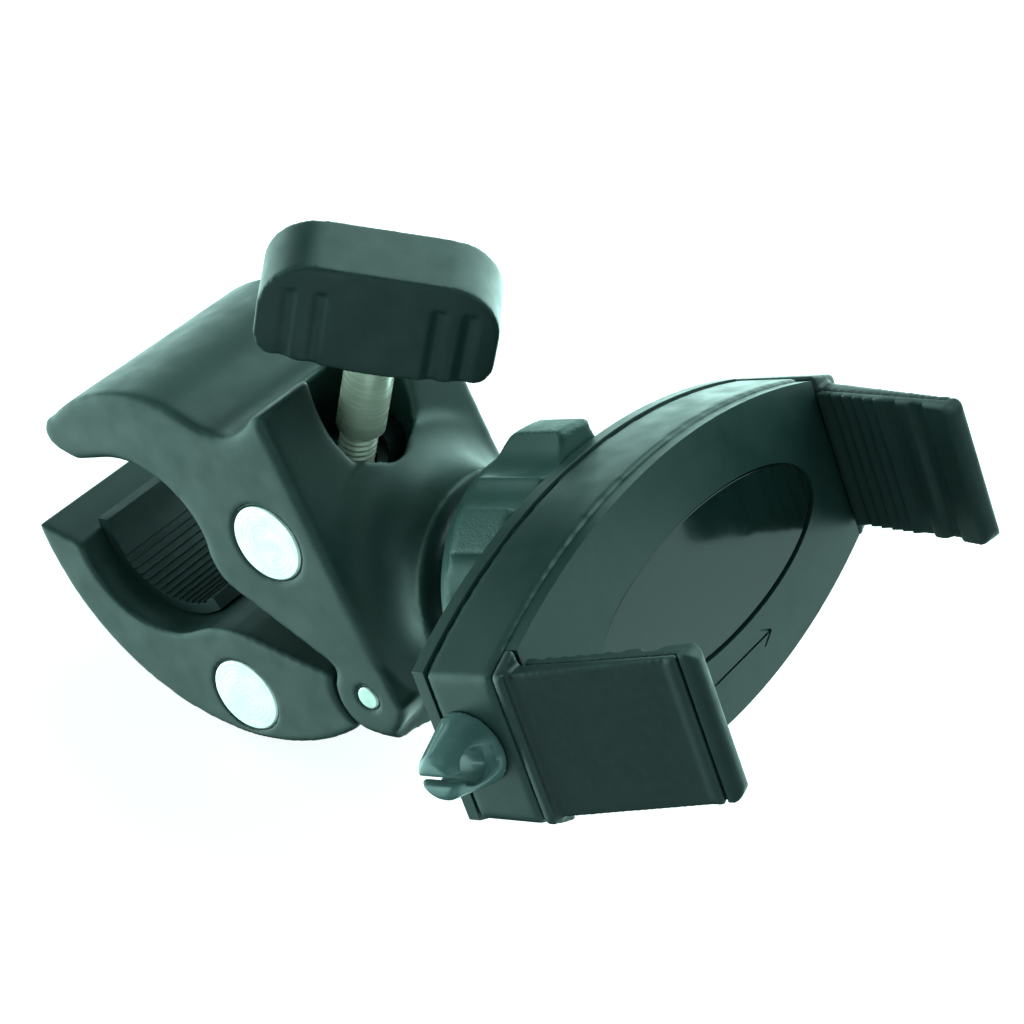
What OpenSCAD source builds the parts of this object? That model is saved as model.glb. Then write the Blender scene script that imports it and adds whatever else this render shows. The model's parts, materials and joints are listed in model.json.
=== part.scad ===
// Handlebar phone mount: a hinged screw clamp, a ball joint locked by a ring nut,
// and a spring-loaded holder that grips a phone between a fixed and a sliding leg.
// Millimetres. The origin is the middle of the bar that the clamp holds.
// +X runs along the bar, +Y towards the phone holder, +Z along the clamp screw.

/* [Clamp] */
// Radius of the handlebar that the rubber pads close on
bar_r = 12.7; // [11:0.1:13.5]
// Width of both jaws along the bar
clamp_w = 41; // [36:0.5:46]
// Radius of the two jaw arcs around the bar, outside the pads
jaw_arc_r = 14.4; // [14.2:0.1:15]
// Distance of the clamp screw from the bar
screw_y = 22.5; // [22:0.5:24]
// Height of the upper trunnion above the bar axis
upper_trunnion_z = 16.3; // [15.5:0.1:17]
// Depth of the barrel nut below the bar axis
barrel_nut_z = -16.2; // [-17:0.1:-15.5]
// Radius of the upper trunnion and of the barrel nut
trunnion_r = 6.25; // [5.5:0.05:6.5]
// Hinge pin position along Y
hinge_y = 43.9; // [43:0.1:45]
// Hinge pin position along Z
hinge_z = -0.8; // [-1.5:0.1:0]
// Radius of the hinge pin
hinge_pin_r = 1.95; // [1.5:0.05:2.5]
// Radius of the rounded hinge lugs
lug_r = 6.5; // [6:0.1:7]

/* [Screw and knob] */
// Radius of the M6 thread
thread_r = 2.95; // [2.5:0.05:3]
// Radius of the plain shank above the thread
shank_r = 3.75; // [3.5:0.05:4]
// Height of the shoulder where the shank ends
shoulder_z = 26.7; // [25:0.1:28]
// Height of the screw's lower tip
tip_z = -21.5; // [-23:0.5:-20]
// Height of the underside of the knob
knob_z = 41.3; // [41:0.1:44]
// Height of the knob paddle
knob_h = 17.8; // [15:0.5:20]
// Half the length of the knob paddle
knob_half = 17.3; // [15:0.1:19]
// Thickness of the knob paddle
knob_t = 11.5; // [9:0.5:13]
// Angle of the paddle's face from +X at rest
knob_turn = 33; // [0:1:90]

/* [Ball joint] */
// Radius of the ball
ball_r = 9; // [8.5:0.1:9.2]
// Distance of the ball centre behind the holder's front face
ball_depth = 27; // [26.5:0.1:28]
// Radius of the clamp's boss under the ball
boss_r = 17; // [16:0.5:19]
// Distance of the boss's end face behind the holder's front face
boss_depth = 37.2; // [37.2:0.1:38]
// Outer radius of the ring nut
ring_r = 24.3; // [23:0.1:25]
// Number of lobes on the ring nut
ring_lobes = 7; // [6:1:8]
// Angle by which the holder leans back from upright
lean = 34.1; // [34:0.1:35]

/* [Holder] */
// Position of the middle of the holder's front face along Y
holder_y = 81.7; // [81:0.1:83]
// Position of the middle of the holder's front face along Z
holder_z = 34.6; // [34:0.1:36]
// Distance from the middle to each end of the holder
end_x = 42.5; // [42:0.1:43]
// Where the sliding jaw meets the housing
seam_x = 37.5; // [37:0.1:37.6]
// Distance from the middle to the outer end of the sliding jaw
jaw_end_x = 43.2; // [43:0.1:44]
// Half width of the holder in the middle
mid_w = 20.7; // [20:0.1:21]
// Half width of the holder at its ends
end_w = 11.3; // [11:0.1:12]
// Thickness of the holder body
holder_t = 14.5; // [14:0.1:15]
// Thickness of the front cover
cover_t = 2; // [1.8:0.1:2.4]
// Half length of the oval badge
badge_a = 27.3; // [25:0.1:28]
// Half width of the oval badge
badge_b = 9.9; // [9:0.1:10.5]
// Distance of the badge's centre from the middle, towards the sliding jaw
badge_x = 2.8; // [2:0.1:3.5]

/* [Legs] */
// Length of the fixed leg along its slope
fixed_leg_l = 26.6; // [24:0.1:28]
// Length of the sliding leg along its slope
sliding_leg_l = 28.4; // [24:0.1:29]
// Half width of each leg
leg_w = 11; // [10:0.1:11.2]
// Distance from the middle to the outer root of each leg
leg_x = 41.3; // [41:0.1:41.6]
// Inward slope of the legs in degrees
leg_slope = 14.5; // [12:0.5:16]

/* [Cord clip] */
// Radius of the clip at the end face
clip_r = 5.7; // [5.4:0.1:6]
// Radius of the clip at its tip
clip_tip_r = 3.4; // [3.2:0.1:3.8]
// Height of the clip above the end face
clip_h = 8.4; // [8:0.1:9]
// Radius of the cable bore
clip_bore_r = 2.4; // [2:0.1:2.5]

/* [Hidden] */
$fn = 96;

plastic = "#26302f";
gloss = "#161a1a";
rubber = "#1c2222";
steel = "#b9bab4";
bright = "#e6e8e8";

gap = 0.3;              // space between bodies that move past each other
fit = 0.05;             // radial play of pins and trunnions in their bores
pad_w = 30;             // width of the bar pads
pad_seat_r = 15;        // radius of the recess that holds each pad
base_x = seam_x + gap;  // inner face of the sliding jaw
end_wall = 4.4;         // thickness of the housing's closed end
knuckle_w = 24.6;       // width of the lower jaw's hinge knuckle
slot_r = 7.9;           // radius of the ends of the screw opening above the trunnion
slot_widen = 1.2;       // how much longer that opening is along the bar, on each side
thread_slot_r = 4;      // half width of the screw slots below the trunnion
seat_t = 1.8;           // wall of the ball seats
seat_play = 0.1;        // radial play of the ball seats
socket_r = ball_r + seat_t + 2*seat_play;
collar_r = 17;          // threaded collar on the back plate
wall = 2;               // wall of the housing
plate_drop = 0.8;       // how far the back plate stands behind the sliding jaw's back
jaw_screw_x = 40.2;     // screws that hold the sliding leg on its carriage
lens_sag = mid_w - end_w;
lens_r = (end_x*end_x + lens_sag*lens_sag)/(2*lens_sag);
spring_turns = 15;
spring_y = 6;

// ---------- helpers ----------

// Points on a circular arc in degrees
function arc(c, r, a, b, n) =
    [for (i = [0:n]) let (t = a + (b - a)*i/n) [c[0] + r*cos(t), c[1] + r*sin(t)]];

// Points on a quadratic curve from p to r, pulled towards q
function bend(p, q, r, n) =
    [for (i = [0:n]) let (t = i/n) (1 - t)*(1 - t)*p + 2*t*(1 - t)*q + t*t*r];

// Extrudes an outline drawn in (Y, Z) along the bar, centred, over width w
module along_bar(w) {
    rotate([90, 0, 90]) translate([0, 0, -w/2]) linear_extrude(w) children();
}

// A cylinder along the bar at (y, z)
module bar_cylinder(y, z, r, w) {
    translate([-w/2, y, z]) rotate([0, 90, 0]) cylinder(r = r, h = w);
}

// Holder frame: x towards the sliding jaw, y across the holder, z out of its front face
module holder_frame() {
    translate([0, holder_y, holder_z]) rotate([lean - 90, 0, 0]) rotate([0, 0, 180]) children();
}

// Screw frame: z along the clamp screw
module screw_frame() {
    translate([0, screw_y, 0]) children();
}

// Stadium outline: half width r, half length l along y
module stadium(r, l) {
    for (s = [-1, 1]) translate([0, s*(l - r)]) circle(r);
    square([2*r, 2*(l - r)], center = true);
}

// ---------- clamp ----------

module upper_outline() {
    nose = bend([-17, 8.7], [-21.6, 8.6], [-20.6, 13], 6);
    back = arc([5, 2], 27.4, 155, 96, 16);
    ridge = bend([8, 29.2], [14.2, 29.8], [16.2, 36.6], 8);
    front = bend([17.9, 38], [33.4, 19.9], [49.6, 1.3], 14);
    lug = arc([hinge_y, hinge_z], lug_r, 20, -192, 18);
    inner = [[36.4, 0.8], [19.5, 2.8]];
    heel = bend([17.5, 3], [13.4, 3.6], [11.5, 8], 6);
    bore = arc([-0.6, 0.6], jaw_arc_r, 32, 128, 16);
    polygon(concat(nose, back, ridge, front, lug, inner, heel, bore, [[-14, 8.7]]));
}

module lower_outline() {
    outer_c = [10.9, 11.6];
    outer_r = 37.7;
    nose = [[-12.8, -7.8], [-17, -8.4], [-20.6, -8.8]];
    outer = arc(outer_c, outer_r, 213.5, 330, 32);
    root = [[hinge_y, -7], [hinge_y, hinge_z], [37, -1.2]];
    inner = [[21, -4.2]];
    heel = bend([18, -5.2], [13.8, -7], [12.2, -9.4], 6);
    bore = arc([0.6, -0.6], jaw_arc_r, 323, 211, 20);
    polygon(concat(nose, outer, root, inner, heel, bore));
}

// Neck that flares from the front face to the boss under the ball
module neck() {
    fillet_r = 8;
    intersection() {
        holder_frame() translate([0, 0, -boss_depth]) rotate([180, 0, 0]) rotate_extrude() difference() {
            square([boss_r + fillet_r, 14.5]);
            translate([boss_r + fillet_r, 3.2]) circle(fillet_r);
        }
        along_bar(clamp_w) polygon([[20, 0], [hinge_y, -7.2], [63, -3], [50, 40], [20, 34]]);
    }
}

module clamp_body() {
    color(plastic) difference() {
        union() {
            along_bar(clamp_w) upper_outline();
            neck();
        }
        bar_cylinder(screw_y, upper_trunnion_z, trunnion_r + fit, clamp_w + 2);
        bar_cylinder(hinge_y, hinge_z, hinge_pin_r + fit, clamp_w + 2);
        bar_cylinder(hinge_y, hinge_z, lug_r + gap, knuckle_w + 2*gap);
        bar_cylinder(0, 0, pad_seat_r, pad_w);
        translate([0, screw_y - 1.2, upper_trunnion_z]) linear_extrude(40)
            rotate(90) stadium(slot_r, slot_r + slot_widen);
        translate([0, screw_y + 1, -12]) linear_extrude(40) stadium(thread_slot_r, 6.6);
        holder_frame() translate([0, 0, -boss_depth - 0.6]) cylinder(r = 14, h = 10);
        holder_frame() translate([0, 0, -40.6]) cylinder(r = 5 + fit, h = 10);
        holder_frame() translate([0, 0, -50]) cylinder(r = 2.2, h = 20);
        holder_frame() translate([0, 0, -66]) cylinder(r = 3.7, h = 23);
    }
}

module upper_jaw_pad() {
    color(rubber) jaw_pad(30, 136, 42, 124);
}

module lower_jaw_pad() {
    color(rubber) jaw_pad(206, 324, 238, 318);
}

// Rubber lining over the angles a to b, with ribs along the bar from c to d
module jaw_pad(a, b, c, d) {
    rib_step = 5.8;
    groove = 0.5;
    along_bar(pad_w - 0.2) difference() {
        intersection() {
            circle(pad_seat_r - fit);
            polygon(concat([[0, 0]], arc([0, 0], 20, a, b, 8)));
        }
        circle(bar_r);
        for (t = [c : rib_step : d])
            rotate(t) translate([bar_r, 0]) square([2*groove, 2*groove], center = true);
    }
}

module lower_jaw() {
    color(plastic) difference() {
        union() {
            difference() {
                along_bar(clamp_w) lower_outline();
                bar_cylinder(hinge_y, hinge_z, lug_r + gap + 0.1, clamp_w + 2);
            }
            bar_cylinder(hinge_y, hinge_z, lug_r - 0.2, knuckle_w);
            along_bar(knuckle_w) polygon([[30, -2.2], [40, -1.2], [42, -6.9], [36, -14], [30, -14]]);
        }
        bar_cylinder(hinge_y, hinge_z, hinge_pin_r + fit, clamp_w + 2);
        bar_cylinder(screw_y, barrel_nut_z, trunnion_r + fit, clamp_w + 2);
        bar_cylinder(0, 0, pad_seat_r, pad_w);
        translate([0, screw_y, -40]) linear_extrude(50) stadium(thread_slot_r, 6.4);
    }
}

module hinge_pin() {
    color(steel) bar_cylinder(hinge_y, hinge_z, hinge_pin_r, clamp_w);
}

// Cross barrel with a hole for the screw
module cross_barrel(z, hole_r) {
    difference() {
        bar_cylinder(screw_y, z, trunnion_r, clamp_w);
        translate([0, screw_y, z - 10]) cylinder(r = hole_r, h = 20);
        children();
    }
}

module upper_trunnion() {
    spot_face_z = 20.8;
    spot_face_r = 5;
    color(bright) cross_barrel(upper_trunnion_z, thread_r + 0.35)
        translate([0, screw_y, spot_face_z]) cylinder(r = spot_face_r, h = 5);
}

module barrel_nut() {
    color(bright) cross_barrel(barrel_nut_z, thread_r + 0.2);
}

module clamp_screw() {
    knob_grip = 11;
    color(steel) screw_frame() {
        translate([0, 0, tip_z + 0.8]) cylinder(r = thread_r, h = shoulder_z - tip_z);
        translate([0, 0, tip_z]) cylinder(r1 = thread_r - 0.8, r2 = thread_r, h = 0.8);
        translate([0, 0, shoulder_z]) cylinder(r = shank_r, h = knob_z + knob_grip - shoulder_z);
    }
}

// Face of the paddle: large corners above, small corners below, a slightly round underside
module knob_outline() {
    top_r = 8;
    low_r = 4.5;
    under_r = 90;
    top = knob_z + knob_h;
    intersection() {
        union() {
            for (s = [-1, 1]) {
                translate([s*(knob_half - top_r), top - top_r]) circle(top_r);
                translate([s*(knob_half - low_r), knob_z + 0.4 + low_r]) circle(low_r);
            }
            translate([-knob_half, knob_z + 0.4 + low_r])
                square([2*knob_half, knob_h - 0.4 - low_r - top_r]);
            translate([top_r - knob_half, top - top_r - 1]) square([2*(knob_half - top_r), top_r + 1]);
            translate([low_r - knob_half, knob_z]) square([2*(knob_half - low_r), 8]);
        }
        translate([0, knob_z + under_r]) circle(under_r, $fn = 360);
    }
}

module knob() {
    groove_r = 2;
    groove_depth = 0.4;
    groove_h = 14.5;
    color(plastic) screw_frame() rotate([0, 0, knob_turn]) difference() {
        rotate([90, 0, 90]) translate([0, 0, -knob_t/2]) linear_extrude(knob_t) knob_outline();
        for (side = [-1, 1], s = [-12.8, -8.4, 8.4, 12.8])
            translate([side*(knob_t/2 + groove_r - groove_depth), s, knob_z - 1])
                cylinder(r = groove_r, h = groove_h);
        cylinder(r = shank_r + fit, h = knob_z + 11);
    }
}

// ---------- ball joint ----------

module ball_stud() {
    stud_r = 5;
    color(plastic) holder_frame() difference() {
        union() {
            translate([0, 0, -ball_depth]) sphere(r = ball_r);
            translate([0, 0, -40.6]) cylinder(r = stud_r, h = 12);
        }
        translate([0, 0, -41]) cylinder(r = 2.05, h = 12);
    }
}

module ball_screw() {
    color(steel) holder_frame() {
        translate([0, 0, -43.2]) cylinder(r = 2, h = 13.2);
        difference() {
            translate([0, 0, -45.6]) cylinder(r = 3.4, h = 2.6);
            translate([0, 0, -46]) cylinder(r = 1.5, h = 1.8, $fn = 6);
        }
    }
}

// Shell around the ball between the polar angles a and b, measured from the front
module ball_shell(a, b) {
    holder_frame() translate([0, 0, -ball_depth]) rotate_extrude() intersection() {
        difference() {
            circle(ball_r + seat_play + seat_t);
            circle(ball_r + seat_play);
        }
        polygon(concat([[0, 0]], arc([0, 0], 20, 90 - a, 90 - b, 12)));
        translate([0, -20]) square([20, 40]);
    }
}

module ball_seat_front() {
    color(gloss) ball_shell(12, 82);
}

module ball_seat_rear() {
    color(gloss) ball_shell(97, 128);
}

module ring_nut() {
    front = 16.3;
    rim = 25;
    shoulder = 29;
    rear = 35.2;
    scallop_r = 4.4;
    scallop_out = 0.6;
    scallop_turn = 18.2;
    lobe_at = 131.5;
    color(plastic) holder_frame() difference() {
        rotate_extrude() polygon([[0, -front], [ring_r - 0.5, -front], [ring_r, -front - 0.5],
                                  [ring_r, -rim], [ring_r - 0.8, -rim - 1.6],
                                  [ring_r - 3.6, -shoulder], [ring_r - 4.6, -shoulder - 2.4],
                                  [10, -rear], [0, -rear]]);
        for (i = [0:ring_lobes - 1], s = [-1, 1])
            rotate(lobe_at + i*360/ring_lobes + s*scallop_turn)
                translate([ring_r + scallop_out, 0, -rear - 1]) cylinder(r = scallop_r, h = rear - front + 2);
        translate([0, 0, -ball_depth - gap]) cylinder(r = collar_r + fit, h = 20);
        translate([0, 0, -ball_depth]) sphere(r = socket_r);
        translate([0, 0, -rear - 1]) cylinder(r1 = 11, r2 = 8.2, h = 3.4);
    }
}

// ---------- holder body ----------

// Lens outline of the holder, grown by e, from x = a to x = b
module lens(e, a, b) {
    intersection() {
        translate([0, mid_w - lens_r]) circle(lens_r + e, $fn = 360);
        translate([0, lens_r - mid_w]) circle(lens_r + e, $fn = 360);
        translate([a, -30]) square([b - a, 60]);
    }
}

module back_plate() {
    rim = 0.3;
    color(plastic) holder_frame() difference() {
        union() {
            translate([0, 0, -holder_t - plate_drop]) linear_extrude(wall) lens(rim, -end_x, seam_x);
            translate([0, 0, -ball_depth]) cylinder(r = collar_r, h = ball_depth - holder_t);
        }
        translate([0, 0, -ball_depth]) sphere(r = socket_r);
        screw_places() translate([0, 0, -20]) cylinder(r = 1.3, h = 10);
    }
}

// The four screws that hold back plate, housing and front cover together
module screw_places() {
    for (x = [-30, 27], y = [-12.6, 12.6]) translate([x, y, 0]) children();
}

module housing() {
    bottom = -holder_t + wall - plate_drop;
    top = -cover_t;
    color(plastic) holder_frame() difference() {
        union() {
            difference() {
                translate([0, 0, bottom]) linear_extrude(top - bottom) lens(0, -end_x, seam_x);
                translate([0, 0, bottom - 1]) linear_extrude(top - bottom + 2)
                    lens(-wall, end_wall - end_x, seam_x + 5);
            }
            screw_places() translate([0, 0, bottom]) cylinder(r = 2.6, h = top - bottom);
            for (y = [-spring_y, spring_y]) {
                translate([-35.6, y, bottom]) cylinder(r = 1.3, h = top - bottom);
                translate([-39, y - 0.8, bottom]) cube([3.4, 1.6, top - bottom]);
            }
        }
        screw_places() translate([0, 0, bottom - 1]) cylinder(r = 1.3, h = 20);
        leg_screw_places() {
            translate([0, 0, bottom - 1]) cylinder(r = 0.9, h = 20);
            translate([0, 0, bottom - 1]) cylinder(r = 1.65, h = 3);
        }
    }
}

// The two screws that hold the fixed leg on the housing's closed end
module leg_screw_places() {
    for (y = [-6, 6]) translate([-40.3, y, 0]) children();
}

module cover_screws() {
    color(steel) holder_frame() screw_places() {
        translate([0, 0, -holder_t - plate_drop]) cylinder(r = 1.25, h = holder_t - 0.6);
    }
}

// Points on the oval of the badge, grown by e
function oval(e) = [for (i = [0:71]) [badge_x + (badge_a + e)*cos(5*i), (badge_b + e)*sin(5*i)]];

module front_cover() {
    step = 0.5;
    badge_gap = 0.35;
    color(plastic) holder_frame() difference() {
        translate([0, 0, -cover_t]) linear_extrude(cover_t) lens(-step, end_wall + 0.2 - end_x, seam_x);
        translate([0, 0, -1]) linear_extrude(2) polygon(oval(badge_gap));
        arrow();
        screw_places() translate([0, 0, -cover_t - 0.1]) cylinder(r = 1.3, h = 1.2);
    }
}

// Engraved arrow that shows which way the jaw slides
module arrow() {
    line = 0.35;
    translate([1.2, -13.7, -0.35]) linear_extrude(1) {
        translate([-10, -line/2]) square([20, line]);
        for (s = [-1, 1]) translate([10, 0]) rotate(s*150) translate([0, -line/2]) square([2.8, line]);
    }
}

module badge() {
    color(gloss) holder_frame() translate([0, 0, -1]) linear_extrude(0.6) polygon(oval(0));
}

// ---------- legs ----------

// Places a leg profile drawn in (s along the leg, t inward) at the end given by side
module leg_frame(side) {
    holder_frame() mirror([side < 0 ? 1 : 0, 0, 0])
        translate([leg_x, 0, 0]) rotate([0, -leg_slope, 0]) children();
}

// Length of the leg on the given side
function leg_length(side) = side < 0 ? fixed_leg_l : sliding_leg_l;

// Plate outline seen square to the leg: two rounded corners at the tip
module leg_face(from, to) {
    corner = 1.8;
    rotate([0, -90, 0]) translate([0, 0, -5]) linear_extrude(15) {
        translate([from, -leg_w]) square([to - from - corner, 2*leg_w]);
        translate([from, corner - leg_w]) square([to - from, 2*(leg_w - corner)]);
        for (s = [-1, 1]) translate([to - corner, s*(leg_w - corner)]) circle(corner);
    }
}

// Hard core of a leg, thinner towards its tip, with a bead at its outer edge
module leg_core(side) {
    top = leg_length(side) - 2.6;
    leg_frame(side) intersection() {
        rotate([90, 0, 0]) translate([0, 0, -20]) linear_extrude(40)
            polygon([[0, -0.6], [0, top - 1.8], [0.3, top - 1], [0.1, top], [-1.1, top],
                     [-2.75, 0.75], [-1.9, 0.52], [-1.9, -0.6]]);
        leg_face(-1, leg_length(side) + 1);
    }
}

// Rubber face of a leg: fine ridges, a round rib between two grooves, and a lip over the tip
module leg_pad(side) {
    ridges = 6;
    pitch = 2.15;
    tip = leg_length(side);
    leg_frame(side) intersection() {
        rotate([90, 0, 0]) translate([0, 0, -20]) linear_extrude(40)
            polygon(concat([[-2.75, 1.45], [-1.15, tip - 2.55], [-0.3, tip - 2.55]],
                           bend([-0.2, tip - 1.9], [-0.1, tip], [-1.6, tip], 6),
                           bend([-2, tip], [-3.5, tip], [-3.6, tip - 1.4], 6),
                           bend([-3.6, tip - 4.6], [-3.5, tip - 5.8], [-2.7, tip - 5.9], 4),
                           bend([-2.8, tip - 8], [-3.7, tip - 8.1], [-3.7, tip - 9.2], 4),
                           bend([-3.7, tip - 10.2], [-3.7, tip - 11.1], [-2.9, tip - 11.2], 4),
                           [for (i = [ridges - 1:-1:0], k = [0, 1])
                               [-(k == 0 ? 3.1 : 3.75) - 0.06*(ridges - i), 2.2 + pitch*(i + 1 - 0.9*k)]],
                           [[-4.2, 1.45]]));
        leg_face(1, tip);
    }
}

module fixed_leg() {
    seam = 0.4;
    root_groove = 0.6;
    color(gloss) difference() {
        union() {
            holder_frame() {
                translate([0, 0, seam - cover_t]) linear_extrude(cover_t - seam)
                    lens(0, -end_x, end_wall - end_x);
                translate([0, 0, -cover_t]) linear_extrude(cover_t)
                    lens(-seam, seam - end_x, end_wall - end_x);
            }
            leg_core(-1);
        }
        holder_frame() translate([-leg_x - root_groove, -leg_w - 1, -1])
            cube([root_groove, 2*leg_w + 2, 3]);
        holder_frame() leg_screw_places()
            translate([0, 0, -cover_t - 1]) cylinder(r = 0.9, h = 2.4);
    }
}

module fixed_leg_pad() {
    color(rubber) leg_pad(-1);
}

module fixed_leg_screws() {
    head_z = -12.9;
    color(steel) holder_frame() leg_screw_places() {
        translate([0, 0, head_z]) cylinder(r = 0.85, h = -head_z - 0.8);
        translate([0, 0, head_z]) cylinder(r = 1.5, h = 1.2);
    }
}

module cord_clip() {
    axis_y = 0.3;
    axis_z = -9.4;
    bore_h = 4.3;
    mouth = 1.3;
    color(gloss) holder_frame() translate([-end_x, axis_y, axis_z]) rotate([0, -90, 0]) difference() {
        union() {
            cylinder(r1 = clip_r, r2 = clip_tip_r, h = clip_h - 0.8);
            translate([0, 0, clip_h - 0.8]) cylinder(r1 = clip_tip_r, r2 = clip_tip_r - 0.8, h = 0.8);
        }
        translate([-10, 0, bore_h]) rotate([0, 90, 0]) cylinder(r = clip_bore_r, h = 20);
        for (s = [0, 180]) rotate(s) translate([3.4, 0, bore_h]) rotate([0, 90, 0])
            cylinder(r1 = clip_bore_r, r2 = clip_bore_r + 1.2, h = 1.6);
        translate([-10, -mouth/2, bore_h]) cube([20, mouth, 10]);
    }
}

// ---------- sliding jaw ----------

module carriage() {
    tongue_z = -12.9;
    tongue_t = 3;
    color(plastic) holder_frame() difference() {
        union() {
            translate([-24, -8.4, tongue_z]) cube([66.1, 16.8, tongue_t]);
            for (y = [-spring_y, spring_y])
                translate([-4, y, tongue_z]) cylinder(r = 1.3, h = 9);
        }
        for (y = [-4, 4]) translate([jaw_screw_x, y, tongue_z - 1]) cylinder(r = 1.1, h = 5);
    }
}

module sliding_leg() {
    color(gloss) {
        holder_frame() difference() {
            translate([0, 0, -holder_t - 0.4]) linear_extrude(holder_t + 0.4) lens(0.2, base_x, jaw_end_x);
            translate([base_x - 1, -8.5, -13]) cube([5.4, 17, 3.2]);
            for (y = [-4, 4]) translate([jaw_screw_x, y, -16]) cylinder(r = 1.1, h = 12);
        }
        leg_core(1);
    }
}

module sliding_leg_pad() {
    color(rubber) leg_pad(1);
}

module sliding_leg_screws() {
    color(steel) holder_frame() for (y = [-4, 4])
        translate([jaw_screw_x, y, -holder_t - 0.2]) cylinder(r = 1.05, h = 8);
}

// Extension spring: one wire swept round a helix along x
module return_spring(y) {
    wire_r = 0.3;
    coil_r = 1.7;
    length = 28.4;
    sides = 6;
    steps = 12;
    rings = spring_turns*steps;
    pts = [for (i = [0:rings], j = [0:sides - 1])
              let (a = i*360/steps, b = j*360/sides, r = coil_r + wire_r*cos(b))
              [length*i/rings + wire_r*sin(b), r*cos(a), r*sin(a)]];
    walls = [for (i = [0:rings - 1], j = [0:sides - 1])
                let (k = (j + 1)%sides)
                [i*sides + j, i*sides + k, (i + 1)*sides + k, (i + 1)*sides + j]];
    ends = [[for (j = [sides - 1:-1:0]) j], [for (j = [0:sides - 1]) rings*sides + j]];
    color(steel) holder_frame() translate([-34, y, -6.6]) polyhedron(pts, concat(walls, ends));
}

module return_spring_left() {
    return_spring(spring_y);
}

module return_spring_right() {
    return_spring(-spring_y);
}

clamp_body();
upper_jaw_pad();
lower_jaw();
lower_jaw_pad();
hinge_pin();
upper_trunnion();
barrel_nut();
clamp_screw();
knob();
ball_stud();
ball_screw();
ball_seat_front();
ball_seat_rear();
ring_nut();
back_plate();
housing();
front_cover();
badge();
fixed_leg();
fixed_leg_pad();
fixed_leg_screws();
cover_screws();
cord_clip();
carriage();
sliding_leg();
sliding_leg_pad();
sliding_leg_screws();
return_spring_left();
return_spring_right();
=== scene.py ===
"""Looks of the handlebar phone mount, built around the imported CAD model."""
import json
import math

import bmesh
import bpy
import numpy as np
from mathutils import Matrix, Vector


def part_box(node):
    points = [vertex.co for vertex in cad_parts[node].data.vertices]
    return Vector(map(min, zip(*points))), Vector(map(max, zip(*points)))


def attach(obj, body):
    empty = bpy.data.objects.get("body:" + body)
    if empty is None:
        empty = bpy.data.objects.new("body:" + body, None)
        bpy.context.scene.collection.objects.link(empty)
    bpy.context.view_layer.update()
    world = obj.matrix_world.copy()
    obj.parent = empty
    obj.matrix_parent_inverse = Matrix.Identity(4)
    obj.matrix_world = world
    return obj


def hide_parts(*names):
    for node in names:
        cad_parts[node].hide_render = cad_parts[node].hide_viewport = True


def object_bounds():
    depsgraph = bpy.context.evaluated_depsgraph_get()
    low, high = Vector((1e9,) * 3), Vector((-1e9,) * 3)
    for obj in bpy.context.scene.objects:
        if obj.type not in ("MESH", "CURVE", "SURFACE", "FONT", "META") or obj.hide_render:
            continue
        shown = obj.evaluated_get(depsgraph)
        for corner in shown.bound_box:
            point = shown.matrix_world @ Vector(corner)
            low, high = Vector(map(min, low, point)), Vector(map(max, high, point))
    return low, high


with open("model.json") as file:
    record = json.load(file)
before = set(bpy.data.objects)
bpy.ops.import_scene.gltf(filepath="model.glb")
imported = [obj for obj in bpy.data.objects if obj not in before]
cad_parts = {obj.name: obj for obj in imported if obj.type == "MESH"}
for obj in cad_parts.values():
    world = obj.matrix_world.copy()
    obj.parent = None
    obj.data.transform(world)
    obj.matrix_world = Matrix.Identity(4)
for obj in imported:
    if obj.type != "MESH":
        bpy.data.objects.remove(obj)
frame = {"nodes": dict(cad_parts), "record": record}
NODES = frame["nodes"]
BODIES = frame["record"]["behaviour"]["bodies"]
BODY_OF = {n: body for body, members in BODIES.items() for n in members}
cad_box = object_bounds()
MM = 0.001
WELD = 0.002*MM
SCENE = bpy.context.scene

# ---------- camera, floor and light ----------

CAMERA_AT = Vector((266.5, 187.0, 300.0))*MM
CAMERA_AZIMUTH = 117.17
CAMERA_ELEVATION = 42.27
CAMERA_ROLL = 12.22
CAMERA_LENS = 98.4
FLOOR_SIZE = 4.0
FLOOR_GLOW = 0.8
FLOOR_GAP = 0.3


def link(obj):
    SCENE.collection.objects.link(obj)
    return obj


def make_camera():
    data = bpy.data.cameras.new("camera")
    data.lens = CAMERA_LENS
    data.sensor_width = 36
    cam = link(bpy.data.objects.new("camera", data))
    turn = (Matrix.Rotation(math.radians(CAMERA_AZIMUTH), 4, "Z")
            @ Matrix.Rotation(math.radians(90 - CAMERA_ELEVATION), 4, "X")
            @ Matrix.Rotation(math.radians(CAMERA_ROLL), 4, "Z"))
    cam.matrix_world = Matrix.Translation(CAMERA_AT) @ turn
    SCENE.camera = cam


# Soft lights of the studio tent: azimuth from +X, elevation, strength
LIGHTS = {
    "backdrop_right": (300, -25, 3.6),
    "backdrop_left": (240, -25, 2.8),
    "low_left": (180, -25, 5.2),
    "high_left": (180, 35, 3.3),
    "high_right": (300, 35, 0.8),
    "fill_front_high": (60, 35, 0.7),
    "fill_front_low": (0, -25, 0.5),
    "fill_side_low": (60, -25, 0.7),
    "fill_rear_low": (120, -25, 1.5),
}
LIGHT_OUTER = math.cos(math.radians(45))
LIGHT_INNER = math.cos(math.radians(12))
LIGHT_TINT = (0.62, 1.0, 0.93)


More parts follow.
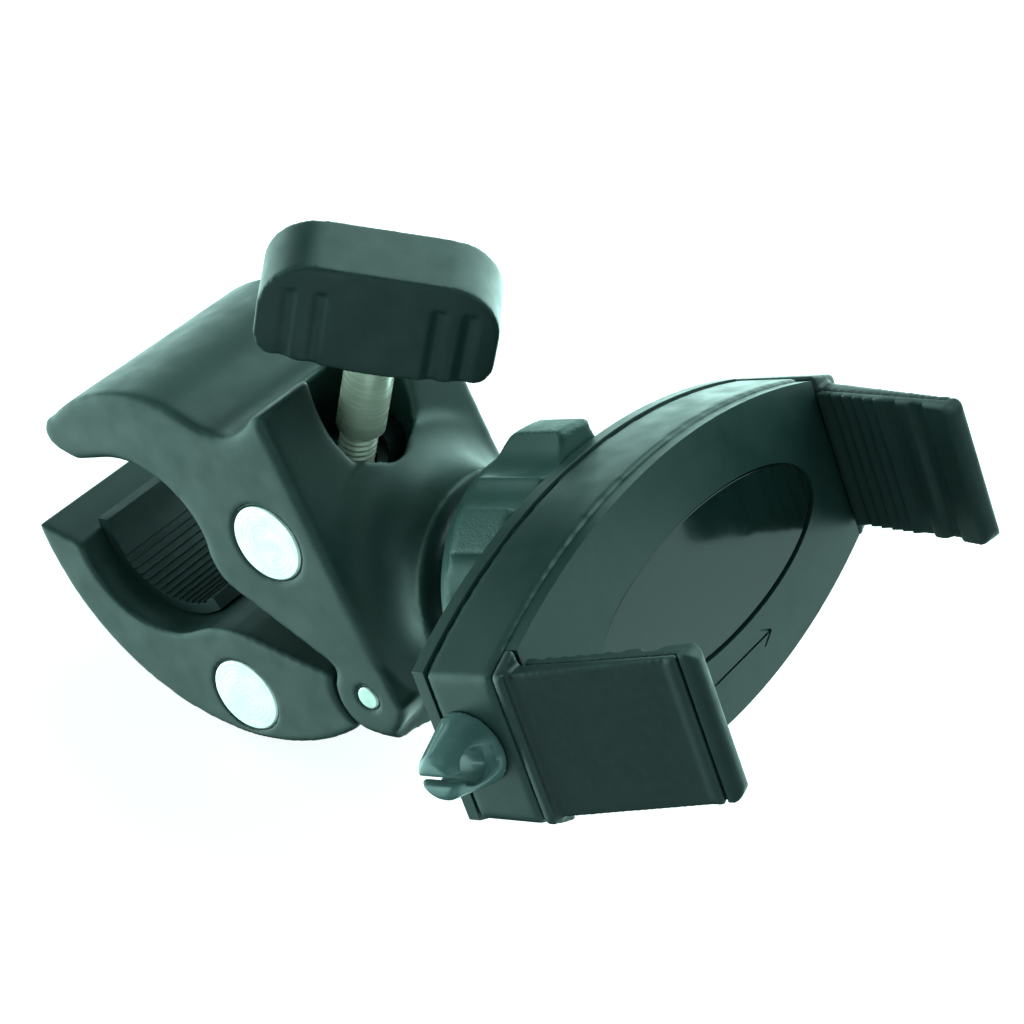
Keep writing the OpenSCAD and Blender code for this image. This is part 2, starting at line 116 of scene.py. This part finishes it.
def make_world():
    """A studio tent: each light is a soft-edged patch of the surroundings."""
    world = bpy.data.worlds.new("studio")
    SCENE.world = world
    world.use_nodes = True
    tree = world.node_tree
    back = tree.nodes["Background"]
    back.inputs["Color"].default_value = (*LIGHT_TINT, 1)
    coord = tree.nodes.new("ShaderNodeTexCoord")
    total = None
    for name, (azimuth, elevation, strength) in LIGHTS.items():
        a, e = math.radians(azimuth), math.radians(elevation)
        facing = tree.nodes.new("ShaderNodeVectorMath")
        facing.label = name
        facing.operation = "DOT_PRODUCT"
        towards = (math.cos(a)*math.cos(e), math.sin(a)*math.cos(e), math.sin(e))
        facing.inputs[1].default_value = towards
        tree.links.new(coord.outputs["Generated"], facing.inputs[0])
        patch = tree.nodes.new("ShaderNodeMapRange")
        patch.interpolation_type = "SMOOTHSTEP"
        patch.inputs["From Min"].default_value = LIGHT_OUTER
        patch.inputs["From Max"].default_value = LIGHT_INNER
        patch.inputs["To Max"].default_value = strength
        tree.links.new(facing.outputs["Value"], patch.inputs["Value"])
        if total is None:
            total = patch.outputs["Result"]
        else:
            both = tree.nodes.new("ShaderNodeMath")
            tree.links.new(total, both.inputs[0])
            tree.links.new(patch.outputs["Result"], both.inputs[1])
            total = both.outputs[0]
    tree.links.new(total, back.inputs["Strength"])


def make_floor():
    below = cad_box[0].z - FLOOR_GAP*MM
    mesh = bpy.data.meshes.new("floor")
    h = FLOOR_SIZE/2
    corners = [(-h, -h, below), (h, -h, below), (h, h, below), (-h, h, below)]
    mesh.from_pydata(corners, [], [(0, 1, 2, 3)])
    floor = link(bpy.data.objects.new("floor", mesh))
    floor.visible_diffuse = False
    floor.visible_glossy = False
    mat = bpy.data.materials.new("pale_floor")
    mat.use_nodes = True
    shader = mat.node_tree.nodes["Principled BSDF"]
    shader.inputs["Base Color"].default_value = (0.93, 0.94, 0.94, 1)
    shader.inputs["Roughness"].default_value = 0.9
    shader.inputs["Emission Color"].default_value = (1, 1, 1, 1)
    shader.inputs["Emission Strength"].default_value = FLOOR_GLOW
    mesh.materials.append(mat)


SCENE.view_settings.view_transform = "Standard"
make_camera()
make_world()
make_floor()

# ---------- materials ----------

SPECKLE = (0.03, 0.06, 0.055)


class Shade:
    """Small helper that wires one procedural material."""

    def __init__(self, name, roughness, metallic=0.0, specular=0.5, coat=0.0):
        self.mat = bpy.data.materials.new(name)
        self.mat.use_nodes = True
        self.tree = self.mat.node_tree
        self.shader = self.tree.nodes["Principled BSDF"]
        self.shader.inputs["Roughness"].default_value = roughness
        self.shader.inputs["Metallic"].default_value = metallic
        self.shader.inputs["Specular IOR Level"].default_value = specular
        if coat:
            self.shader.inputs["Coat Weight"].default_value = coat
            self.shader.inputs["Coat Roughness"].default_value = 0.08
        coord = self.add("ShaderNodeTexCoord")
        self.place = coord.outputs["Object"]
        self.height = None

    def add(self, kind):
        return self.tree.nodes.new(kind)

    def wire(self, a, b):
        self.tree.links.new(a, b)

    def noise(self, scale, detail=3.0, stretch=None):
        """Noise of the given number of cells per metre, drawn out along an axis by stretch."""
        node = self.add("ShaderNodeTexNoise")
        node.inputs["Scale"].default_value = scale
        node.inputs["Detail"].default_value = detail
        place = self.place
        if stretch:
            mapping = self.add("ShaderNodeMapping")
            mapping.inputs["Scale"].default_value = stretch
            self.wire(place, mapping.inputs["Vector"])
            place = mapping.outputs["Vector"]
        self.wire(place, node.inputs["Vector"])
        return node.outputs["Fac"]

    def ramp(self, value, low, high, a, b):
        node = self.add("ShaderNodeMapRange")
        for socket, number in (("From Min", low), ("From Max", high), ("To Min", a), ("To Max", b)):
            node.inputs[socket].default_value = number
        self.wire(value, node.inputs["Value"])
        return node.outputs["Result"]

    def mix(self, factor, a, b):
        node = self.add("ShaderNodeMix")
        node.data_type = "RGBA"
        self.wire(factor, node.inputs["Factor"])
        for socket, colour in ((node.inputs[6], a), (node.inputs[7], b)):
            if hasattr(colour, "links"):
                self.wire(colour, socket)
            else:
                socket.default_value = (*colour, 1)
        return node.outputs[2]

    def times(self, a, b):
        node = self.add("ShaderNodeMath")
        node.operation = "MULTIPLY"
        self.wire(a, node.inputs[0])
        if hasattr(b, "links"):
            self.wire(b, node.inputs[1])
        else:
            node.inputs[1].default_value = b
        return node.outputs[0]

    def colour(self, a, b, scale=45.0, fine=900.0):
        """Base colour drifting between a and b, with faint fine speckle."""
        drift = self.mix(self.ramp(self.noise(scale), 0.3, 0.7, 0, 1), a, b)
        speck = self.ramp(self.noise(fine, 2.0), 0.35, 0.75, 0, 0.35)
        pale = tuple(0.6*x + 0.4*y for x, y in zip(b, SPECKLE))
        return self.mix(speck, drift, pale)

    def attribute(self, name):
        """A value that the mesh holds at each point, 0 where it has none."""
        node = self.add("ShaderNodeAttribute")
        node.attribute_type = "GEOMETRY"
        node.attribute_name = name
        return node.outputs["Fac"]

    def worn(self, colour, light, amount=0.4):
        """Lightens convex edges, where handling polishes the plastic."""
        edge = self.ramp(self.attribute("edge"), 0.25, 1, 0, amount)
        patch = self.ramp(self.noise(130.0), 0.35, 0.6, 0.3, 1)
        return self.mix(self.times(edge, patch), colour, light)

    def rough(self, low, high, scale=220.0, stretch=None):
        value = self.ramp(self.noise(scale, 4.0, stretch), 0.3, 0.7, low, high)
        self.wire(value, self.shader.inputs["Roughness"])

    def bump(self, value, depth, strength=1.0):
        """Adds a layer of relief, depth in metres."""
        node = self.add("ShaderNodeBump")
        node.inputs["Distance"].default_value = depth
        node.inputs["Strength"].default_value = strength
        self.wire(value, node.inputs["Height"])
        if self.height is not None:
            self.wire(self.height, node.inputs["Normal"])
        self.height = node.outputs["Normal"]

    def done(self, colour):
        self.wire(colour, self.shader.inputs["Base Color"])
        if self.height is not None:
            self.wire(self.height, self.shader.inputs["Normal"])
        return self.mat


EDGE_LIGHT = (0.06, 0.12, 0.11)
# Painted shade: near black put on the middle of the cross pins and nuts, standing in for the shade
# inside the screw hole; the next value is the half length of that middle, in mm
PAINTED_SHADE = (0.03, 0.045, 0.045)
PAINTED_SHADE_TO = 18


def moulded(name, dark, light, low, high, grain=0.000012, coat=0.0, specular=0.5, edge=0.4):
    """Satin moulded plastic: slow colour drift, fine grain and polished edges."""
    s = Shade(name, low, specular=specular, coat=coat)
    s.rough(low, high)
    s.bump(s.noise(2600.0, 2.0), grain)
    s.bump(s.noise(150.0, 2.0), 0.00005, 0.25)
    return s.done(s.worn(s.colour(dark, light), EDGE_LIGHT, amount=edge))


def textured(name, dark, light):
    """Spark-eroded plastic: coarse grain wherever the mesh says so, satin elsewhere."""
    s = Shade(name, 0.45)
    s.rough(0.4, 0.6)
    grain = s.attribute("grain")
    spots = s.noise(3200.0, 3.0)
    s.bump(s.times(spots, grain), 0.00012)
    s.bump(s.noise(2600.0, 2.0), 0.00001)
    pale_spots = s.times(s.ramp(spots, 0.5, 0.72, 0, 0.3), grain)
    spotted = s.mix(pale_spots, s.colour(dark, light), EDGE_LIGHT)
    return s.done(s.worn(spotted, EDGE_LIGHT, amount=0.25))


def rubbery(name, dark, light):
    s = Shade(name, 0.6, specular=0.4)
    s.rough(0.5, 0.72)
    s.bump(s.noise(3400.0, 3.0), 0.00002)
    return s.done(s.worn(s.colour(dark, light), (0.07, 0.11, 0.1), amount=0.5))


def brushed(name, dark, light, low, high, stretch, scale=900.0, metallic=0.85):
    """Steel with fine marks drawn out along one axis."""
    s = Shade(name, low, metallic=metallic)
    marks = s.noise(scale, 3.0, stretch)
    s.rough(low, high, scale, stretch)
    s.bump(marks, 0.000012)
    return s.done(s.mix(s.ramp(marks, 0.3, 0.7, 0, 1), dark, light))


def turned(name, dark, light, node):
    """Machined steel with faint rings round the axis of a node that lies along the bar."""
    low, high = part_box(node)
    middle = (low + high)/2
    s = Shade(name, 0.3, metallic=0.75)
    mapping = s.add("ShaderNodeMapping")
    mapping.inputs["Location"].default_value = -middle
    s.wire(s.place, mapping.inputs["Vector"])
    rings = s.add("ShaderNodeTexWave")
    rings.wave_type = "RINGS"
    rings.rings_direction = "X"
    rings.inputs["Scale"].default_value = 420.0
    rings.inputs["Distortion"].default_value = 0.6
    s.wire(mapping.outputs["Vector"], rings.inputs["Vector"])
    s.rough(0.3, 0.45, 500.0)
    s.bump(rings.outputs["Fac"], 0.000006)
    faced = s.mix(s.ramp(s.noise(260.0), 0.35, 0.7, 0, 1), dark, light)
    # Painted shade: the middle of the bar, inside the clamp body, is painted near black for the shade in
    # the screw hole; only the ends show the bright metal
    split = s.add("ShaderNodeSeparateXYZ")
    s.wire(s.place, split.inputs[0])
    reach = s.add("ShaderNodeMath")
    reach.operation = "ABSOLUTE"
    s.wire(split.outputs["X"], reach.inputs[0])
    ends = s.ramp(reach.outputs[0], PAINTED_SHADE_TO*MM, (PAINTED_SHADE_TO + 0.5)*MM, 0, 1)
    return s.done(s.mix(ends, PAINTED_SHADE, faced))


MATERIALS = {
    "clamp_plastic": moulded("clamp_plastic", (0.012, 0.034, 0.03), (0.018, 0.045, 0.04), 0.38, 0.52),
    "knob_plastic": moulded("knob_plastic", (0.01, 0.03, 0.027), (0.015, 0.04, 0.036), 0.34, 0.48),
    "textured_plastic": textured("textured_plastic", (0.03, 0.075, 0.068), (0.042, 0.095, 0.086)),
    "holder_plastic": moulded("holder_plastic", (0.011, 0.032, 0.029), (0.017, 0.043, 0.039), 0.36, 0.5),
    "leg_plastic": moulded("leg_plastic", (0.007, 0.02, 0.019), (0.011, 0.028, 0.026), 0.36, 0.48),
    "badge_gloss": moulded("badge_gloss", (0.006, 0.018, 0.016), (0.009, 0.024, 0.021), 0.08, 0.16,
                           grain=0.000002, coat=0.4),
    "seat_plastic": moulded("seat_plastic", (0.03, 0.045, 0.043), (0.04, 0.058, 0.055), 0.4, 0.5),
    "pad_rubber": rubbery("pad_rubber", (0.01, 0.026, 0.024), (0.015, 0.035, 0.033)),
    "plated_steel": brushed("plated_steel", (0.85, 0.86, 0.7),
                            (1.0, 0.99, 0.84), 0.18, 0.32, (0.15, 0.15, 2),
                            metallic=0.2),
    # Painted highlight: the cord clip's base colour is lightened to stand in for the glossy highlights
    # on it, not its own darker tone
    "clip_painted_highlight": moulded("clip_painted_highlight", (0.1, 0.18, 0.18), (0.14, 0.23, 0.23), 0.16, 0.26),
    "spring_steel": brushed("spring_steel", (0.5, 0.55, 0.53),
                            (0.7, 0.74, 0.72), 0.2, 0.35, (0.1, 1, 1)),
    "trunnion": turned("trunnion_metal", (0.78, 0.86, 0.83), (0.93, 0.98, 0.96), "upper_trunnion"),
    "barrel": turned("barrel_metal", (0.78, 0.86, 0.83), (0.93, 0.98, 0.96), "barrel_nut"),
    "pin": turned("pin_metal", (0.55, 0.64, 0.58), (0.75, 0.84, 0.79), "hinge_pin"),
}

SLOT_OF = {
    "clamp_body": "clamp_plastic", "lower_jaw": "clamp_plastic",
    "knob": "knob_plastic", "ball_stud": "knob_plastic",
    "ring_nut": "textured_plastic",
    "back_plate": "holder_plastic", "housing": "holder_plastic", "front_cover": "holder_plastic",
    "cord_clip": "holder_plastic",
    "fixed_leg": "leg_plastic", "sliding_leg": "leg_plastic",
    "badge": "badge_gloss",
    "ball_seat_front": "seat_plastic", "ball_seat_rear": "seat_plastic", "carriage": "seat_plastic",
    "upper_jaw_pad": "pad_rubber", "lower_jaw_pad": "pad_rubber",
    "fixed_leg_pad": "pad_rubber", "sliding_leg_pad": "pad_rubber",
    "hinge_pin": "plated_steel", "clamp_screw": "plated_steel", "ball_screw": "plated_steel",
    "cover_screws": "plated_steel", "fixed_leg_screws": "plated_steel",
    "sliding_leg_screws": "plated_steel",
    "return_spring_left": "spring_steel", "return_spring_right": "spring_steel",
    "upper_trunnion": "polished_metal", "barrel_nut": "polished_metal",
}
FINISH_OF = {"upper_trunnion": "trunnion", "barrel_nut": "barrel", "hinge_pin": "pin",
             "cord_clip": "clip_painted_highlight"}


def finish_of(node):
    return MATERIALS[FINISH_OF.get(node, SLOT_OF[node])]


# ---------- mesh work ----------


def stand_in(name, mesh, node):
    """Makes the mesh a shown piece that stands for the CAD node on the node's own body."""
    mesh.name = name
    mesh.materials.clear()
    mesh.materials.append(finish_of(node))
    obj = link(bpy.data.objects.new(name, mesh))
    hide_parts(node)
    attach(obj, BODY_OF[node])
    return obj


def voxel_mesh(node, voxel):
    """A closed, evenly meshed copy of a CAD node."""
    bm = bmesh.new()
    bm.from_mesh(NODES[node].data)
    bmesh.ops.remove_doubles(bm, verts=bm.verts, dist=WELD)
    mesh = bpy.data.meshes.new("work")
    bm.to_mesh(mesh)
    bm.free()
    work = link(bpy.data.objects.new("work", mesh))
    remesh = work.modifiers.new("remesh", "REMESH")
    remesh.mode = "VOXEL"
    remesh.voxel_size = voxel*MM
    even = bpy.data.meshes.new_from_object(work.evaluated_get(bpy.context.evaluated_depsgraph_get()))
    bpy.data.objects.remove(work)
    bpy.data.meshes.remove(mesh)
    return even


def points_of(mesh):
    co = np.zeros(len(mesh.vertices)*3)
    mesh.vertices.foreach_get("co", co)
    return co.reshape(-1, 3)/MM


def set_points(mesh, co):
    mesh.vertices.foreach_set("co", (co*MM).ravel())
    mesh.polygons.foreach_set("use_smooth", [True]*len(mesh.polygons))
    mesh.update()


def relax(mesh, co, rounds, weight):
    """Rounds the edges by averaging neighbours; weight 0 keeps a point where it is."""
    pairs = np.zeros(len(mesh.edges)*2, int)
    mesh.edges.foreach_get("vertices", pairs)
    a, b = pairs[0::2], pairs[1::2]
    count = np.bincount(pairs, minlength=len(co))[:, None]
    step = 0.5*weight[:, None]
    for _ in range(rounds):
        total = np.stack([np.bincount(a, co[b, k], len(co)) + np.bincount(b, co[a, k], len(co))
                          for k in range(co.shape[1])], axis=1)
        co = co + step*(total/count - co)
    return co


def normals_of(mesh):
    normals = np.zeros(len(mesh.vertices)*3)
    mesh.vertices.foreach_get("normal", normals)
    return normals.reshape(-1, 3)


def store(mesh, name, value):
    """Keeps a value between 0 and 1 at each point, for the material to read."""
    mesh.attributes.new(name, "FLOAT", "POINT").data.foreach_set("value", value.astype(np.float32))


def mark_edges(mesh, before, after):
    """Stores how far the rounding took each convex edge back, as a share of the furthest."""
    retreat = np.clip(-np.sum((after - before)*normals_of(mesh), axis=1), 0, None)
    even = relax(mesh, retreat[:, None], 4, np.ones(len(after)))[:, 0]
    store(mesh, "edge", np.clip(even/max(np.percentile(even, 99.5), 0.02), 0, 1))


def round_off(node, voxel, rounds, weigh=None):
    """Stands a rounded copy in for a CAD node. weigh gives each point's freedom to move."""
    mesh = voxel_mesh(node, voxel)
    start = points_of(mesh)
    co = relax(mesh, start, rounds, np.ones(len(start)) if weigh is None else weigh(start))
    set_points(mesh, co)
    mark_edges(mesh, start, co)
    return stand_in(node + "_moulded", mesh, node)


def off_axis(co, y, z):
    """Distance of each point from the line along the bar through (y, z)."""
    return np.hypot(co[:, 1] - y, co[:, 2] - z)


def box_middle(node):
    low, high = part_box(node)
    return (low + high)/2/MM


def near_bores(co, nodes, reach, held):
    """Freedom to move: held close to the bores that the named round nodes sit in, 1 elsewhere."""
    weight = np.ones(len(co))
    for name, radius in nodes:
        middle = box_middle(name)
        gap = off_axis(co, middle.y, middle.z) - radius
        weight = np.minimum(weight, np.clip(held + (1 - held)*gap/reach, held, 1))
    return weight


TRUNNION_R = 6.3
PIN_R = 2.0
ROUND_NODES = (("upper_trunnion", TRUNNION_R), ("hinge_pin", PIN_R))
LUG_FROM_Y = 36
LUG_BELOW_Z = 6
LUG_HELD = 0.75
NOSE_TO_Y = -14
NOSE_HELD = 0.6


def clamp_freedom(co):
    """Full rounding along the ridge, less at the nose, the hinge lug and round the bores."""
    lug = np.clip((co[:, 1] - LUG_FROM_Y)/6, 0, 1)*(co[:, 2] < LUG_BELOW_Z)
    nose = np.clip((NOSE_TO_Y - co[:, 1])/4, 0, 1)
    return near_bores(co, ROUND_NODES, 3.0, 0.08)*(1 - LUG_HELD*lug)*(1 - NOSE_HELD*nose)


def jaw_freedom(co):
    return near_bores(co, (("barrel_nut", TRUNNION_R), ("hinge_pin", PIN_R)), 2.5, 0.1)


round_off("clamp_body", 0.42, 20, clamp_freedom)
round_off("lower_jaw", 0.4, 9, jaw_freedom)
round_off("knob", 0.3, 6)
round_off("housing", 0.42, 12)
round_off("fixed_leg", 0.28, 10)
round_off("sliding_leg", 0.32, 9)
round_off("fixed_leg_pad", 0.2, 4)
round_off("sliding_leg_pad", 0.2, 4)
round_off("cord_clip", 0.2, 12)

# ---------- ring nut ----------

LEAN = 34.1
FRONT = Vector((0, math.sin(math.radians(90 - LEAN)), math.cos(math.radians(90 - LEAN))))
LOBE_R = 23.2
GRAIN_DEPTH = 0.02
SEED = 7


def make_ring_nut():
    mesh = voxel_mesh("ring_nut", 0.32)
    start = points_of(mesh)
    co = relax(mesh, start, 9, np.ones(len(start)))
    middle = np.array(box_middle("ball_seat_front"))
    rel = co - middle
    depth = rel @ np.array(FRONT)
    radius = np.linalg.norm(rel - np.outer(depth, FRONT), axis=1)
    grain = np.clip((radius - LOBE_R)/0.6, 0, 1)
    set_points(mesh, co)
    mark_edges(mesh, start, co)
    jitter = np.random.default_rng(SEED).uniform(-GRAIN_DEPTH, GRAIN_DEPTH, len(co))*grain
    set_points(mesh, co + normals_of(mesh)*jitter[:, None])
    store(mesh, "grain", grain)
    stand_in("ring_nut_moulded", mesh, "ring_nut")


make_ring_nut()

# ---------- clamp screw ----------

SHOULDER_Z = 26.7
SHANK_R = 3.75
THREAD_R = 2.95
THREAD_DEPTH = 0.55
PITCH = 1.0
AROUND = 64
THREAD_STEPS = 8


def make_screw():
    """A plain shank over a rolled thread, cut as one helix."""
    low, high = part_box("clamp_screw")
    centre = (low + high)/2/MM
    bottom, top = low.z/MM, high.z/MM
    rows = []
    count = int((SHOULDER_Z - bottom)/PITCH*THREAD_STEPS)
    angles = np.arange(AROUND)*2*math.pi/AROUND
    for i in range(count):
        z = bottom + (SHOULDER_Z - 0.4 - bottom)*i/(count - 1)
        phase = (z/PITCH - angles/(2*math.pi)) % 1
        cut = THREAD_DEPTH*(1 - np.abs(2*phase - 1))
        lead = min(1.0, (z - bottom)/1.5)
        rows.append((THREAD_R - cut - 0.8*(1 - lead), z))
    for r, z in ((THREAD_R - 0.1, SHOULDER_Z - 0.2), (SHANK_R - 0.35, SHOULDER_Z),
                 (SHANK_R, SHOULDER_Z + 0.4), (SHANK_R, top - 0.3), (SHANK_R - 0.3, top)):
        rows.append((np.full(AROUND, r), z))
    verts = [(centre.x + r[k]*math.cos(angles[k]), centre.y + r[k]*math.sin(angles[k]), z)
             for r, z in rows for k in range(AROUND)]
    faces = []
    for i in range(len(rows) - 1):
        for k in range(AROUND):
            row, after, turn = i*AROUND, (i + 1)*AROUND, (k + 1) % AROUND
            faces.append((row + k, row + turn, after + turn, after + k))
    faces.append(tuple(reversed(range(AROUND))))
    faces.append(tuple((len(rows) - 1)*AROUND + k for k in range(AROUND)))
    mesh = bpy.data.meshes.new("screw")
    mesh.from_pydata([tuple(c*MM for c in v) for v in verts], [], faces)
    mesh.polygons.foreach_set("use_smooth", [len(p.vertices) == 4 for p in mesh.polygons])
    stand_in("clamp_screw_threaded", mesh, "clamp_screw")


make_screw()

# ---------- crisp parts ----------

SHARP = math.radians(40)
FLAT = math.radians(0.5)


def crisp(node, width, wanted=None):
    """Stands a copy with narrow rounded edges in for a CAD node.

    wanted picks the edges by their middle, in mm.
    """
    bm = bmesh.new()
    bm.from_mesh(NODES[node].data)
    bmesh.ops.remove_doubles(bm, verts=bm.verts, dist=WELD)
    bmesh.ops.dissolve_limit(bm, angle_limit=FLAT, verts=bm.verts, edges=bm.edges)
    edges = [e for e in bm.edges if len(e.link_faces) == 2 and e.calc_face_angle(0) > SHARP
             and (wanted is None or wanted((e.verts[0].co + e.verts[1].co)/2/MM))]
    bmesh.ops.bevel(bm, geom=edges, offset=width*MM, offset_type="OFFSET", segments=3,
                    profile=0.5, affect="EDGES", clamp_overlap=True)
    mesh = bpy.data.meshes.new("crisp")
    bm.to_mesh(mesh)
    bm.free()
    if "custom_normal" in mesh.attributes:
        mesh.attributes.remove(mesh.attributes["custom_normal"])
    mesh.polygons.foreach_set("use_smooth", [True]*len(mesh.polygons))
    mesh.set_sharp_from_angle(angle=SHARP)
    piece = stand_in(node + "_crisp", mesh, node)
    even = piece.modifiers.new("even_normals", "WEIGHTED_NORMAL")
    even.keep_sharp = True
    return piece


HOLDER_MIDDLE = box_middle("badge")
ACROSS = FRONT.cross(Vector((1, 0, 0)))
COVER_HALF_L = 42
COVER_HALF_W = 20.7
COVER_EDGE_FROM = 0.75


def on_cover_rim(at):
    """True on the long curved edges of the cover, clear of the badge and the arrow."""
    rel = at - HOLDER_MIDDLE
    along, across = rel.x/COVER_HALF_L, rel.dot(ACROSS)/COVER_HALF_W
    return along*along + across*across > COVER_EDGE_FROM


def at_ends(at):
    return abs(at.x) > PAINTED_SHADE_TO


crisp("front_cover", 0.45, on_cover_rim)
crisp("back_plate", 0.25)
crisp("badge", 0.2)
for cross_pin in ("upper_trunnion", "barrel_nut", "hinge_pin"):
    crisp(cross_pin, 0.4, at_ends)
crisp("upper_jaw_pad", 0.15)
crisp("lower_jaw_pad", 0.15)
crisp("ball_screw", 0.12)

# ---------- CAD nodes that stay ----------


def finish_nodes():
    for name, node in NODES.items():
        if node.hide_render:
            continue
        if not node.material_slots:
            node.data.materials.append(None)
        for material_slot in node.material_slots:
            material_slot.material = finish_of(name)


finish_nodes()
